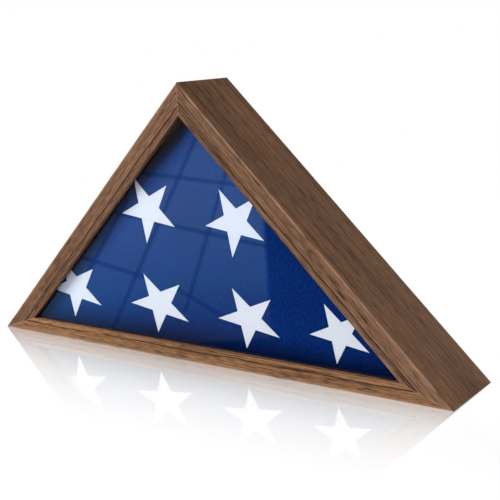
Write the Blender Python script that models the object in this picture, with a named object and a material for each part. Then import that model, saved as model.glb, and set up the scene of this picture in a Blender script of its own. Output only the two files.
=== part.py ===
"""Triangular display case for a folded flag.

A wooden shadow-box frame stands on its long base. The pane, its stops and the folded
flag go in from behind, under a lift-out back panel that turn buttons keep in place.
Metres, +Z up, the window faces -Y, and the origin is under the middle of the case.
"""
import math

import bmesh
import bpy
from mathutils import Matrix, Vector

# Driving dimensions
CASE_WIDTH = 0.648          # base, corner to corner; the outline is a right isosceles triangle
CASE_DEPTH = 0.096          # front face to rear face of the wood
SIDE_FACE = 0.0265          # front face width of the two sloping rails
BASE_FACE = 0.0190          # front face width of the base rail
GAP = 0.0003                # clearance between touching pieces

# Rail section, measured on a sloping rail; the base rail's is narrower by BASE_FACE / SIDE_FACE
WALL = 0.018                # wall thickness behind the lip
LIP_DEPTH = 0.006           # thickness of the lip that the pane sits behind
REBATE_WIDTH = 0.005        # step that the back panel drops into
FRONT_EASE = 0.0016         # rounded front outer edge
SMALL_EASE = 0.0007         # broken edges elsewhere

# Pane, stops, flag and back panel
PANE_THICKNESS = 0.0025
STOP_WIDTH = 0.0045
STOP_DEPTH = 0.0045
EDGE_PLAY = 0.0006          # how much smaller than its seat the pane or the panel is
FLAG_PLAY = 0.0015
FLAG_THICKNESS = 0.068
FLAG_SHOULDER = 0.014       # rounded edge of the flag's faces
FLAG_CORNER = 0.020         # rounded corner of the flag's triangle
PANEL_THICKNESS = 0.005
PANEL_RECESS = 0.0005
PANEL_CORNER_CUT = 0.004
LINING_THICKNESS = 0.001

# Hardware on the rear face
SCREW_SHANK = 0.0014        # radii
SCREW_HEAD = 0.0028
SCREW_HEAD_HEIGHT = 0.0016
SCREW_LENGTH = 0.012
BUTTON_LENGTH = 0.024
BUTTON_WIDTH = 0.008
BUTTON_THICKNESS = 0.0015
STRAP_WIDTH = 0.006
STRAP_THICKNESS = 0.001
STRAP_LENGTH = 0.025        # ring pivot to the strap's square end
STRAP_SCREW = 0.0185        # ring pivot to the screw
RING_WIRE = 0.0008          # radius
RING_HALF_WIDTH = 0.0046
RING_SIDE = 0.0065          # pivot to the centre of the ring's round end
RING_CORNER = 0.0012
BUMPER_RADIUS = 0.0045
BUMPER_HEIGHT = 0.005
NAIL_LEG = 0.003            # corner nails, a V across each mitre
NAIL_WIDTH = 0.0012
NAIL_DEPTH = 0.010

# Places along a sloping rail, from the apex; and along the base, from its middle
UPPER_BUTTON = 0.105
HANGER = 0.165
LOWER_BUTTON = 0.325
BUMPER = 0.385
BASE_BUTTON = 0.165

CASE_HEIGHT = CASE_WIDTH / 2
STANDOFF = GAP + BUMPER_HEIGHT
FRONT_Y = -(CASE_DEPTH + STANDOFF) / 2
LAND = WALL - REBATE_WIDTH
LEDGE_Y = CASE_DEPTH - PANEL_RECESS - PANEL_THICKNESS - GAP
PIVOT_HEIGHT = GAP + STRAP_THICKNESS + RING_WIRE + 0.0002
HANGER_INSET = 0.0075       # keeps the rings out of sight from in front
SLOPE = math.radians(45)

CORNERS = {
    "left": Vector((-CASE_WIDTH / 2, 0, 0)),
    "right": Vector((CASE_WIDTH / 2, 0, 0)),
    "apex": Vector((0, 0, CASE_HEIGHT)),
}
WINDOW_HALF = CASE_WIDTH / 2 - SIDE_FACE * math.sqrt(2) - BASE_FACE
WINDOW = {
    "left": Vector((-WINDOW_HALF, 0, BASE_FACE)),
    "right": Vector((WINDOW_HALF, 0, BASE_FACE)),
    "apex": Vector((0, 0, CASE_HEIGHT - SIDE_FACE * math.sqrt(2))),
}


# Helpers

def clear_scene():
    for obj in list(bpy.data.objects):
        bpy.data.objects.remove(obj, do_unlink=True)


def material(name, color, roughness, metallic=0.0):
    mat = bpy.data.materials.new(name)
    mat.use_nodes = True
    shader = mat.node_tree.nodes["Principled BSDF"]
    shader.inputs["Base Color"].default_value = (*color, 1)
    shader.inputs["Roughness"].default_value = roughness
    shader.inputs["Metallic"].default_value = metallic
    return mat


def add_object(name, data, mat, place=Matrix.Identity(4)):
    """Link a mesh or curve under the case's empty, at place in the case's own frame."""
    obj = bpy.data.objects.new(name, data)
    bpy.context.collection.objects.link(obj)
    obj.parent = bpy.data.objects["case"]
    obj.location = place.to_translation()
    obj.rotation_euler = place.to_euler()
    if mat:
        data.materials.append(mat)
    return obj


def mesh_from(bm, name, smooth_angle=None):
    bmesh.ops.recalc_face_normals(bm, faces=bm.faces)
    mesh = bpy.data.meshes.new(name)
    bm.to_mesh(mesh)
    bm.free()
    if smooth_angle:
        mesh.shade_smooth()
        mesh.set_sharp_from_angle(angle=math.radians(smooth_angle))
    return mesh


def loop_edges(bm, points):
    verts = [bm.verts.new(p) for p in points]
    return [bm.edges.new((verts[i], verts[(i + 1) % len(verts)])) for i in range(len(verts))]


def loft(name, loops, smooth_angle=None):
    """Bridge a row of point loops and cap both ends."""
    bm = bmesh.new()
    rings = [loop_edges(bm, points) for points in loops]
    for first, second in zip(rings, rings[1:]):
        bmesh.ops.bridge_loops(bm, edges=first + second)
    for ring in (rings[0], rings[-1]):
        bmesh.ops.contextual_create(bm, geom=ring)
    return mesh_from(bm, name, smooth_angle)


def prism(name, outline, near_y, far_y):
    """Extrude an outline in X and Z along Y."""
    bm = bmesh.new()
    face = bm.faces.new([bm.verts.new((p[0], near_y, p[-1])) for p in outline])
    out = bmesh.ops.extrude_face_region(bm, geom=[face])
    moved = [v for v in out["geom"] if isinstance(v, bmesh.types.BMVert)]
    bmesh.ops.translate(bm, verts=moved, vec=(0, far_y - near_y, 0))
    return mesh_from(bm, name)


def lathe(name, profile, steps=20, smooth_angle=35):
    """Spin a profile of (radius, y) points around Y; its ends lie on the axis."""
    bm = bmesh.new()
    verts = [bm.verts.new((r, y, 0)) for r, y in profile]
    edges = [bm.edges.new(pair) for pair in zip(verts, verts[1:])]
    bmesh.ops.spin(bm, geom=verts + edges, cent=(0, 0, 0), axis=(0, 1, 0),
                   angle=2 * math.pi, steps=steps, use_merge=True)
    bmesh.ops.remove_doubles(bm, verts=bm.verts, dist=1e-6)
    return mesh_from(bm, name, smooth_angle)


def arc(cx, cy, radius, start, end, steps):
    """Points on an arc, angles in degrees."""
    angles = [math.radians(start + (end - start) * i / steps) for i in range(steps + 1)]
    return [(cx + radius * math.cos(a), cy + radius * math.sin(a)) for a in angles]


def cut(obj, cutter):
    """Take a cutter away from a solid with a live Boolean."""
    cutter.hide_render = True
    cutter.display_type = "WIRE"
    mod = obj.modifiers.new(cutter.name, "BOOLEAN")
    mod.operation = "DIFFERENCE"
    mod.object = cutter


def inset_corner(corner, distance):
    """A corner of the outline moved in by a distance that is measured on a sloping rail."""
    return CORNERS[corner].lerp(WINDOW[corner], distance / SIDE_FACE)


def inset_triangle(distance, play):
    """Corners of the triangle at a section distance, made smaller by play on every side."""
    slope_play = play * math.sqrt(2)
    left, right, apex = (inset_corner(c, distance) for c in ("left", "right", "apex"))
    shift = Vector((slope_play + play, 0, play))
    return [left + shift, right + Vector((-shift.x, 0, play)), apex - Vector((0, 0, slope_play))]


def station(rail, distance, inset=LAND / 2):
    """Rear-face frame on a rail: local X runs along it, up the slope or away from the middle."""
    if rail.startswith("base"):
        side = -1 if rail == "base_left" else 1
        point = Vector((side * distance, CASE_DEPTH, inset * BASE_FACE / SIDE_FACE))
        turn = math.pi if side < 0 else 0
    else:
        side = -1 if rail == "left" else 1
        down = Vector((side * math.cos(SLOPE), 0, -math.sin(SLOPE)))
        inward = Vector((-side * math.sin(SLOPE), 0, -math.cos(SLOPE)))
        point = CORNERS["apex"] + down * distance + inward * inset
        point.y = CASE_DEPTH
        turn = -SLOPE if side < 0 else SLOPE - math.pi
    return Matrix.Translation(point) @ Matrix.Rotation(turn, 4, "Y")


# Wooden frame

def rail_section():
    """Section of a rail as (distance in from the outer face, y) points."""
    front = [(x, y) for x, y in arc(FRONT_EASE, FRONT_EASE, FRONT_EASE, 180, 270, 3)]
    return front + [
        (SIDE_FACE - SMALL_EASE, 0),
        (SIDE_FACE, SMALL_EASE),
        (SIDE_FACE, LIP_DEPTH),
        (WALL, LIP_DEPTH),
        (WALL, LEDGE_Y),
        (LAND, LEDGE_Y),
        (LAND, CASE_DEPTH),
        (SMALL_EASE, CASE_DEPTH),
        (0, CASE_DEPTH - SMALL_EASE),
    ]


def mitred_bar(name, start, end, section, mat):
    """A bar between two corners, cut along both mitres, with half a gap taken off each end."""
    along = (CORNERS[end] - CORNERS[start]).normalized()
    loops = []
    for corner, way in ((start, along), (end, -along)):
        mitre = (WINDOW[corner] - CORNERS[corner]).normalized()
        trim = way * (GAP / 2) / math.sin(mitre.angle(way))
        loops.append([inset_corner(corner, d) + Vector((0, y, 0)) + trim for d, y in section])
    return add_object(name, loft(name, loops), mat)


def nail_outline(margin=0.0):
    """Chevron across a mitre: X along the mitre towards the window, Z across it."""
    back = margin * math.sqrt(2)
    leg = NAIL_LEG + margin
    width = NAIL_WIDTH + 2 * back
    points = [(0, 0), (leg, leg), (leg + width, leg), (width, 0), (leg + width, -leg), (leg, -leg)]
    return [(x - back, 0, z) for x, z in points]


def corner_nail(corner, rails, mat):
    """A V-shaped nail driven into both rails of a mitre from behind."""
    mitre = (WINDOW[corner] - CORNERS[corner]).normalized()
    point = inset_corner(corner, LAND * 0.6) - mitre * (NAIL_LEG + NAIL_WIDTH) / 2
    turn = Matrix.Rotation(-math.atan2(mitre.z, mitre.x), 4, "Y")
    place = Matrix.Translation(point) @ turn
    name = "corner_nail_" + corner
    floor = CASE_DEPTH - NAIL_DEPTH
    add_object(name, prism(name, nail_outline(), floor, CASE_DEPTH - GAP), mat, place)
    slot = prism(name + "_slot", nail_outline(GAP), floor - GAP, CASE_DEPTH + GAP)
    cutter = add_object(name + "_slot", slot, None, place)
    for rail in rails:
        cut(rail, cutter)


def frame(wood, steel):
    section = rail_section()
    rails = {
        "left": mitred_bar("rail_left", "left", "apex", section, wood),
        "right": mitred_bar("rail_right", "apex", "right", section, wood),
        "base": mitred_bar("rail_base", "right", "left", section, wood),
    }
    corner_nail("apex", (rails["left"], rails["right"]), steel)
    corner_nail("left", (rails["left"], rails["base"]), steel)
    corner_nail("right", (rails["right"], rails["base"]), steel)
    return rails


# Front pane and its stops

def pane(glass):
    near = LIP_DEPTH + GAP
    outline = inset_triangle(WALL, EDGE_PLAY)
    add_object("glass_pane", prism("glass_pane", outline, near, near + PANE_THICKNESS), glass)


def pane_stops(mat):
    near = LIP_DEPTH + PANE_THICKNESS + 2 * GAP
    outer = WALL + GAP * SIDE_FACE / BASE_FACE
    ease = SMALL_EASE
    section = [
        (outer, near),
        (outer + STOP_WIDTH, near),
        (outer + STOP_WIDTH, near + STOP_DEPTH - ease),
        (outer + STOP_WIDTH - ease, near + STOP_DEPTH),
        (outer, near + STOP_DEPTH),
    ]
    mitred_bar("stop_left", "left", "apex", section, mat)
    mitred_bar("stop_right", "apex", "right", section, mat)
    mitred_bar("stop_base", "right", "left", section, mat)


# Folded flag

def flag_loop(inset, y, steps=6):
    """The flag's triangle with round corners, drawn in by inset."""
    left, right, apex = inset_triangle(WALL, FLAG_PLAY + FLAG_CORNER)
    drop = Vector((0, 0, FLAG_PLAY - GAP))
    radius = FLAG_CORNER - inset
    points = []
    for centre, start, end in ((left, 135, 270), (right, 270, 405), (apex, 45, 135)):
        for x, z in arc(centre.x, centre.z, radius, start, end, steps):
            points.append(Vector((x, y, z)) - drop)
    return points


def folded_flag(cloth):
    """A stuffed triangle that stands on the base rail's wall, close behind the pane."""
    near = LIP_DEPTH + PANE_THICKNESS + 4 * GAP
    far = near + FLAG_THICKNESS
    steps = 4
    loops = []
    for i in range(steps + 1):
        angle = math.radians(90 * i / steps)
        inset = FLAG_SHOULDER * (1 - math.sin(angle))
        loops.append(flag_loop(inset, near + FLAG_SHOULDER * (1 - math.cos(angle))))
    for i in range(steps, -1, -1):
        angle = math.radians(90 * i / steps)
        inset = FLAG_SHOULDER * (1 - math.sin(angle))
        loops.append(flag_loop(inset, far - FLAG_SHOULDER * (1 - math.cos(angle))))
    add_object("folded_flag", loft("folded_flag", loops, smooth_angle=60), cloth)


# Back panel

def clipped(corners, length):
    """Cut the tips off a triangle so that each cut starts length along both sides."""
    points = []
    for i, corner in enumerate(corners):
        before = (corners[i - 1] - corner).normalized()
        after = (corners[(i + 1) % 3] - corner).normalized()
        points += [corner + before * length, corner + after * length]
    return points


def back_panel(board, felt):
    far = CASE_DEPTH - PANEL_RECESS
    near = far - PANEL_THICKNESS
    outline = clipped(inset_triangle(LAND, EDGE_PLAY), PANEL_CORNER_CUT)
    add_object("back_panel", prism("back_panel", outline, near, far), board)
    lining = clipped(inset_triangle(WALL, 2 * EDGE_PLAY), PANEL_CORNER_CUT)
    far = near - GAP
    mesh = prism("panel_lining", lining, far - LINING_THICKNESS, far)
    add_object("panel_lining", mesh, felt)


# Rear hardware

def screw_mesh():
    """Pan-head screw along -Y; y = 0 is under its head."""
    top = SCREW_HEAD_HEIGHT
    tip = -SCREW_LENGTH
    profile = [
        (0, top),
        (SCREW_HEAD * 0.55, top * 0.95),
        (SCREW_HEAD * 0.85, top * 0.7),
        (SCREW_HEAD, top * 0.25),
        (SCREW_HEAD, 0),
        (SCREW_SHANK, 0),
        (SCREW_SHANK, tip + 2 * SCREW_SHANK),
        (0, tip),
    ]
    return lathe("pan_head_screw", profile, steps=16)


def screw(name, mesh, place, seat, rail, mat):
    """A screw whose head sits at height seat over the rear face, and its pilot hole."""
    add_object(name, mesh, None, place @ Matrix.Translation((0, seat, 0)))
    if not mesh.materials:
        mesh.materials.append(mat)
    depth = SCREW_LENGTH - seat + GAP
    radius = SCREW_SHANK + GAP
    profile = [(0, GAP), (radius, GAP), (radius, -depth), (0, -depth)]
    cutter = add_object(name + "_hole", lathe(name + "_hole", profile, 12, None), None, place)
    cut(rail, cutter)


def button_mesh():
    """Flat turn button along +X, round at both ends, with its hole at the origin."""
    steps = 28
    half = BUTTON_WIDTH / 2
    reach = BUTTON_LENGTH - BUTTON_WIDTH
    outer = []
    inner = []
    for i in range(steps):
        angle = 2 * math.pi * (i + 0.5) / steps
        c = math.cos(angle)
        s = math.sin(angle)
        outer.append(((reach if c > 0 else 0) + half * c, half * s))
        inner.append(((SCREW_SHANK + GAP / 2) * c, (SCREW_SHANK + GAP / 2) * s))
    bm = bmesh.new()
    top = BUTTON_THICKNESS
    rings = [loop_edges(bm, [(x, y, z) for x, z in points])
             for points, y in ((inner, 0), (outer, 0), (outer, top), (inner, top))]
    for first, second in zip(rings, rings[1:] + rings[:1]):
        bmesh.ops.bridge_loops(bm, edges=first + second)
    return mesh_from(bm, "turn_button", 35)


def turn_buttons(rails, steel, fastener):
    places = {
        "upper_left": ("left", UPPER_BUTTON),
        "upper_right": ("right", UPPER_BUTTON),
        "lower_left": ("left", LOWER_BUTTON),
        "lower_right": ("right", LOWER_BUTTON),
        "base_left": ("base_left", BASE_BUTTON),
        "base_right": ("base_right", BASE_BUTTON),
    }
    blade = button_mesh()
    blade.materials.append(steel)
    screw_shape = screw_mesh()
    for name, (rail, distance) in places.items():
        place = station(rail, distance)
        add_object("turn_button_" + name, blade, None, place @ Matrix.Translation((0, GAP, 0)))
        seat = BUTTON_THICKNESS + 2 * GAP
        wood = rails[rail.split("_")[0]]
        screw("button_screw_" + name, screw_shape, place, seat, wood, fastener)
    return screw_shape


def strap_mesh():
    """Strap along -X from its loop, which wraps the ring's bar at the origin's height."""
    hole = PIVOT_HEIGHT - GAP - STRAP_THICKNESS
    outer_radius = hole + STRAP_THICKNESS
    centre = PIVOT_HEIGHT
    outer = arc(0, centre, outer_radius, 270, 525, 14)
    inner = arc(0, centre, hole, 525, 270, 14)
    outline = [(-STRAP_LENGTH, GAP)] + outer + inner + [(-STRAP_LENGTH, GAP + STRAP_THICKNESS)]
    half = STRAP_WIDTH / 2
    loops = [[Vector((x, y, z)) for x, y in outline] for z in (-half, half)]
    return loft("hanger_strap", loops, 35)


def ring_curve():
    """D-shaped wire ring: its bar lies along Z at the origin and its bow points to -X."""
    w = RING_HALF_WIDTH
    c = RING_CORNER
    path = [(-x, z) for x, z in arc(c, w - c, c, 180, 90, 3)]
    path += [(-x, z) for x, z in arc(RING_SIDE, 0, w, 90, -90, 12)]
    path += [(-x, z) for x, z in arc(c, c - w, c, 270, 180, 3)]
    curve = bpy.data.curves.new("hanger_ring", "CURVE")
    curve.dimensions = "3D"
    curve.bevel_depth = RING_WIRE
    curve.bevel_resolution = 2
    spline = curve.splines.new("POLY")
    spline.points.add(len(path) - 1)
    for point, (x, z) in zip(spline.points, path):
        point.co = (x, 0, z, 1)
    spline.use_cyclic_u = True
    return curve


def hangers(rails, screw_shape, steel, fastener):
    """A strap and ring on each sloping rail; the ring hangs down over its strap."""
    for side in ("left", "right"):
        place = station(side, HANGER, HANGER_INSET)
        strap = add_object("hanger_strap_" + side, strap_mesh(), steel, place)
        radius = SCREW_SHANK + GAP / 2
        ends = (-GAP, 2 * STRAP_THICKNESS)
        profile = [(0, ends[1]), (radius, ends[1]), (radius, ends[0]), (0, ends[0])]
        at_screw = place @ Matrix.Translation((-STRAP_SCREW, 0, 0))
        name = "hanger_strap_" + side + "_hole"
        cut(strap, add_object(name, lathe(name, profile, 12, None), None, at_screw))
        seat = STRAP_THICKNESS + 2 * GAP
        screw("hanger_screw_" + side, screw_shape, at_screw, seat, rails[side], fastener)
        pivot = place @ Matrix.Translation((0, PIVOT_HEIGHT, 0))
        add_object("hanger_ring_" + side, ring_curve(), steel, pivot)


def bumpers(rubber):
    """Soft pads low on the rear face, which keep the case level against a wall."""
    dome = [(BUMPER_RADIUS * math.cos(math.radians(a)),
             BUMPER_HEIGHT * (0.45 + 0.55 * math.sin(math.radians(a)))) for a in range(0, 90, 18)]
    mesh = lathe("wall_bumper", [(0, BUMPER_HEIGHT)] + dome[::-1] + [(BUMPER_RADIUS, 0), (0, 0)])
    mesh.materials.append(rubber)
    for side in ("left", "right"):
        place = station(side, BUMPER) @ Matrix.Translation((0, GAP, 0))
        add_object("wall_bumper_" + side, mesh, None, place)


def main():
    clear_scene()
    case = bpy.data.objects.new("case", None)
    case.location = (0, FRONT_Y, 0)
    bpy.context.collection.objects.link(case)

    walnut = material("walnut", (0.16, 0.085, 0.05), 0.5)
    glass = material("glass", (0.85, 0.92, 0.95), 0.05)
    stop = material("black_stop", (0.02, 0.02, 0.022), 0.6)
    cloth = material("navy_cloth", (0.01, 0.05, 0.22), 0.9)
    board = material("back_board", (0.10, 0.055, 0.035), 0.6)
    felt = material("black_felt", (0.015, 0.015, 0.017), 0.95)
    steel = material("nickel_steel", (0.62, 0.60, 0.56), 0.3, 1.0)
    fastener = material("screw_steel", (0.70, 0.68, 0.64), 0.25, 1.0)
    rubber = material("clear_rubber", (0.03, 0.03, 0.03), 0.7)

    rails = frame(walnut, fastener)
    pane(glass)
    pane_stops(stop)
    folded_flag(cloth)
    back_panel(board, felt)
    screw_shape = turn_buttons(rails, steel, fastener)
    hangers(rails, screw_shape, steel, fastener)
    bumpers(rubber)


main()
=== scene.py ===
import math

import bmesh
import bpy
from mathutils import Matrix, Quaternion, Vector
from mathutils.geometry import intersect_point_line


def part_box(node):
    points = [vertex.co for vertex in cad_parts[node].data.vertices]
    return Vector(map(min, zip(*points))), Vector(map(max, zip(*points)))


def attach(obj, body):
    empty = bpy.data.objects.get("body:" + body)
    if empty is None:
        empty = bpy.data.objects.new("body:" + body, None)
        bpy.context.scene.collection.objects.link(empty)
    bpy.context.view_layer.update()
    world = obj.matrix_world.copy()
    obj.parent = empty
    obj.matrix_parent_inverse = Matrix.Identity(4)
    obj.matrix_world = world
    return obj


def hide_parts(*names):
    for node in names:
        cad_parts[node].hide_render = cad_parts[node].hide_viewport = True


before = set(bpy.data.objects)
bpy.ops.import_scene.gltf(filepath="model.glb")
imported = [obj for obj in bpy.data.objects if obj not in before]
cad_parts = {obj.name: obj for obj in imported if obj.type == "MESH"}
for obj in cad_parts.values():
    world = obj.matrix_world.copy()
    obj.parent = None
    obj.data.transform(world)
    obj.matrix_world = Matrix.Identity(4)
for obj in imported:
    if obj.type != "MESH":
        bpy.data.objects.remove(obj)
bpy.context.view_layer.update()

bl_info = {
    "name": "Folded flag display case",
    "version": (1, 0, 0),
    "blender": (4, 5, 0),
    "location": "3D View > Sidebar > Flag case",
    "description": "Builds a triangular walnut case with a folded flag behind its pane",
    "category": "Object",
}

# The wooden triangle. Its outline comes from the frame, its section repeats the solid's.
WOOD_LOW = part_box("rail_base")[0]
WOOD_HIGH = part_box("rail_base")[1]
FRONT = WOOD_LOW.y
REAR = WOOD_HIGH.y
CASE_DEPTH = REAR - FRONT
CASE_WIDTH = 0.648
CASE_HEIGHT = CASE_WIDTH / 2
SIDE_FACE = 0.0265          # front face width of the sloping rails
BASE_FACE = 0.0190
WALL = 0.018                # on a sloping rail, as are the next three
LIP_DEPTH = 0.006
REBATE_WIDTH = 0.005
LAND = WALL - REBATE_WIDTH
LEDGE_DEPTH = CASE_DEPTH - 0.0058
GAP = 0.0003

PANE_LOW, PANE_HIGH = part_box("glass_pane")
PANEL_LOW, PANEL_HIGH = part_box("back_panel")
LINING_LOW, LINING_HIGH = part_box("panel_lining")
EDGE_PLAY = 0.0006
PANEL_CORNER_CUT = 0.004

# Hardware on the rear face
SCREW_SHANK = 0.0014
SCREW_HEAD = 0.0028
SCREW_HEAD_HEIGHT = 0.0016
SCREW_LENGTH = 0.012
BUTTON_LENGTH = 0.024
BUTTON_WIDTH = 0.008
BUTTON_THICKNESS = 0.0015
STRAP_WIDTH = 0.006
STRAP_THICKNESS = 0.001
STRAP_LENGTH = 0.025
STRAP_SCREW = 0.0185
RING_WIRE = 0.0008
RING_HALF_WIDTH = 0.0046
RING_SIDE = 0.0065
RING_CORNER = 0.0012
PIVOT_HEIGHT = GAP + STRAP_THICKNESS + RING_WIRE + 0.0002
HANGER_INSET = 0.0075       # keeps the rings out of sight from in front
BUMPER_RADIUS = 0.0045
BUMPER_HEIGHT = 0.005
NAIL_LEG = 0.003
NAIL_WIDTH = 0.0012
NAIL_DEPTH = 0.010
HANGER_PLACE = 0.165
BUMPER_PLACE = 0.385
BUTTON_PLACES = {
    "upper_left": ("left", 0.105),
    "upper_right": ("right", 0.105),
    "lower_left": ("left", 0.325),
    "lower_right": ("right", 0.325),
    "base_left": ("base_left", 0.165),
    "base_right": ("base_right", 0.165),
}

LEFT = Vector((-CASE_WIDTH / 2, FRONT, 0))
RIGHT = Vector((CASE_WIDTH / 2, FRONT, 0))
APEX = Vector((0, FRONT, CASE_HEIGHT))
WINDOW_HALF = CASE_WIDTH / 2 - SIDE_FACE * math.sqrt(2) - BASE_FACE
WINDOW = {
    "left": Vector((-WINDOW_HALF, FRONT, BASE_FACE)),
    "right": Vector((WINDOW_HALF, FRONT, BASE_FACE)),
    "apex": Vector((0, FRONT, CASE_HEIGHT - SIDE_FACE * math.sqrt(2))),
}
OUTLINE = {"left": LEFT, "right": RIGHT, "apex": APEX}
# Each rail runs so that its own X follows it, Y goes back and Z points into the window.
RAILS = {
    "left": ("apex", "left", SIDE_FACE),
    "base": ("left", "right", BASE_FACE),
    "right": ("right", "apex", SIDE_FACE),
}

# The boards differ a little in tone, and each tint also carries painted light and shade for how the
# light falls on that board; the outer faces and the rounded front outer edge get a warmer, brighter
# painted light than the rest.
BOARD_TONES_AND_PAINTED_LIGHT = {
    "left": (0.84, 0.81, 0.75),
    "base": (1.24, 1.15, 0.90),
    "right": (0.84, 0.81, 0.75),
}
OUTER_PAINTED_LIGHT = (1.25, 1.11, 0.88)

# White stars on the navy field: centre across and up, in metres, and the share of their full
# width and height that shows, since the lower row lies where the cloth rolls under
STARS = [
    ((-0.0634, 0.1750), (1.02, 0.98)),
    ((0.0630, 0.1678), (1.00, 0.96)),
    ((-0.1955, 0.0654), (1.12, 0.92)),
    ((-0.0547, 0.0616), (1.12, 0.87)),
    ((0.0762, 0.0591), (1.05, 0.84)),
    ((0.1928, 0.0571), (0.90, 0.80)),
]


# Bars of the mirrored window, each from one end to the other on its own sheet
WINDOW_BARS = [
    ((-0.100, 0.330), (0.240, -0.345)),
    ((-0.190, 0.230), (-0.010, -0.270)),
    ((0.150, 0.105), (0.300, -0.140)),
    ((0.300, 0.219), (-0.300, 0.110)),
    ((0.260, 0.081), (-0.300, -0.080)),
    ((0.330, -0.066), (0.100, -0.154)),
    ((0.010, -0.194), (-0.220, -0.353)),
]


# Settings

class FLAGCASE_PG_wood(bpy.types.PropertyGroup):
    light: bpy.props.FloatVectorProperty(
        name="Light grain", description="Colour of the walnut's palest streaks",
        default=(0.300, 0.170, 0.108), subtype="COLOR", min=0, max=1)
    middle: bpy.props.FloatVectorProperty(
        name="Main grain", description="Colour of most of the walnut",
        default=(0.195, 0.104, 0.064), subtype="COLOR", min=0, max=1)
    dark: bpy.props.FloatVectorProperty(
        name="Dark grain", description="Colour of the walnut's dark lines and pores",
        default=(0.052, 0.026, 0.016), subtype="COLOR", min=0, max=1)
    front_ease: bpy.props.FloatProperty(
        name="Front edge", description="Radius of the rounded outer front edge",
        default=0.0016, unit="LENGTH", min=0.0002, max=0.004)
    ease: bpy.props.FloatProperty(
        name="Other edges", description="Width of the broken edges of the rails",
        default=0.0006, unit="LENGTH", min=0.0001, max=0.002)
    joint: bpy.props.FloatProperty(
        name="Mitre line", description="Width of the fine line where two rails meet",
        default=0.00012, unit="LENGTH", min=0, max=0.001)


class FLAGCASE_PG_cloth(bpy.types.PropertyGroup):
    navy: bpy.props.FloatVectorProperty(
        name="Field", description="Colour of the flag's field",
        default=(0.0010, 0.0205, 0.1400), subtype="COLOR", min=0, max=1)
    white: bpy.props.FloatVectorProperty(
        name="Stars", description="Colour of the stars",
        default=(0.79, 0.79, 0.89), subtype="COLOR", min=0, max=1)
    star_radius: bpy.props.FloatProperty(
        name="Star radius", description="Centre to tip of a star",
        default=0.0425, unit="LENGTH", min=0.01, max=0.08)
    star_turn: bpy.props.FloatProperty(
        name="Star turn", description="Turn of the stars from one tip straight down",
        default=math.radians(-8), unit="ROTATION", min=-math.pi, max=math.pi)
    star_thickness: bpy.props.FloatProperty(
        name="Star thickness", description="How far the sewn stars stand off the field",
        default=0.00035, unit="LENGTH", min=0.0001, max=0.002)
    voxel: bpy.props.FloatProperty(
        name="Mesh size", description="Size of the cloth's cells before it is filled out",
        default=0.0055, unit="LENGTH", min=0.004, max=0.02)
    pressure: bpy.props.FloatProperty(
        name="Fullness", description="Pressure of the folded layers from inside",
        default=4.0, min=0, max=20)
    swell: bpy.props.FloatProperty(
        name="Most swell", description="Furthest that the cloth may move while it fills out",
        default=0.007, unit="LENGTH", min=0.001, max=0.03)


class FLAGCASE_PG_fittings(bpy.types.PropertyGroup):
    nickel: bpy.props.FloatVectorProperty(
        name="Nickel", description="Colour of the straps, rings and turn buttons",
        default=(0.62, 0.60, 0.56), subtype="COLOR", min=0, max=1)
    zinc: bpy.props.FloatVectorProperty(
        name="Screws", description="Colour of the screws",
        default=(0.70, 0.68, 0.64), subtype="COLOR", min=0, max=1)
    recess: bpy.props.FloatProperty(
        name="Recess depth", description="Depth of the cross in a screw's head",
        default=0.0010, unit="LENGTH", min=0.0002, max=0.0014)


class FLAGCASE_PG_stage(bpy.types.PropertyGroup):
    ambient: bpy.props.FloatProperty(
        name="Room light", description="Strength of the even light from all round",
        default=0.42, min=0, max=5)
    key: bpy.props.FloatProperty(
        name="Key light", description="Power of the large soft light",
        default=93.0, unit="POWER", min=0, max=1000)
    floor: bpy.props.FloatVectorProperty(
        name="Floor", description="Colour of the floor",
        default=(0.10, 0.10, 0.10), subtype="COLOR", min=0, max=1)


# Modelling helpers

def only(obj):
    """Leave obj as the one selected object."""
    if bpy.context.mode != "OBJECT":
        bpy.ops.object.mode_set(mode="OBJECT")
    bpy.ops.object.select_all(action="DESELECT")
    obj.select_set(True)
    bpy.context.view_layer.objects.active = obj
    return obj


def nothing_selected():
    if bpy.context.mode != "OBJECT":
        bpy.ops.object.mode_set(mode="OBJECT")
    bpy.ops.object.select_all(action="DESELECT")


def added(name):
    """Name the primitive that was just added, with its place in its mesh."""
    obj = bpy.context.active_object
    obj.name = obj.data.name = name
    bpy.ops.object.transform_apply(location=True, rotation=True, scale=True)
    return obj


def edit(obj, kind="FACE", selected="SELECT"):
    only(obj)
    bpy.ops.object.mode_set(mode="EDIT")
    bpy.ops.mesh.select_mode(type=kind)
    bpy.ops.mesh.select_all(action=selected)


def pick_faces(test):
    """In edit mode, select the faces whose centre and normal pass test."""
    mesh = bpy.context.edit_object.data
    bpy.ops.mesh.select_mode(type="FACE")
    bpy.ops.mesh.select_all(action="DESELECT")
    bm = bmesh.from_edit_mesh(mesh)
    for face in bm.faces:
        face.select_set(bool(test(face.calc_center_median(), face.normal)))
    bmesh.update_edit_mesh(mesh)


def pick_edges(test):
    """In edit mode, select the edges whose two ends pass test."""
    mesh = bpy.context.edit_object.data
    bpy.ops.mesh.select_mode(type="EDGE")
    bpy.ops.mesh.select_all(action="DESELECT")
    bm = bmesh.from_edit_mesh(mesh)
    for edge in bm.edges:
        a, b = (v.co for v in edge.verts)
        edge.select_set(bool(test(a, b)))
    bmesh.update_edit_mesh(mesh)


def pick_points(test):
    """In edit mode, select the points whose place passes test."""
    mesh = bpy.context.edit_object.data
    bpy.ops.mesh.select_mode(type="VERT")
    bpy.ops.mesh.select_all(action="DESELECT")
    bm = bmesh.from_edit_mesh(mesh)
    for vert in bm.verts:
        vert.select_set(bool(test(vert.co)))
    bm.select_flush_mode()
    bmesh.update_edit_mesh(mesh)


def near(a, b, slack=1e-5):
    return abs(a - b) < slack


def push(x=0.0, y=0.0, z=0.0):
    bpy.ops.mesh.extrude_region_move(TRANSFORM_OT_translate={"value": (x, y, z)})


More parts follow.
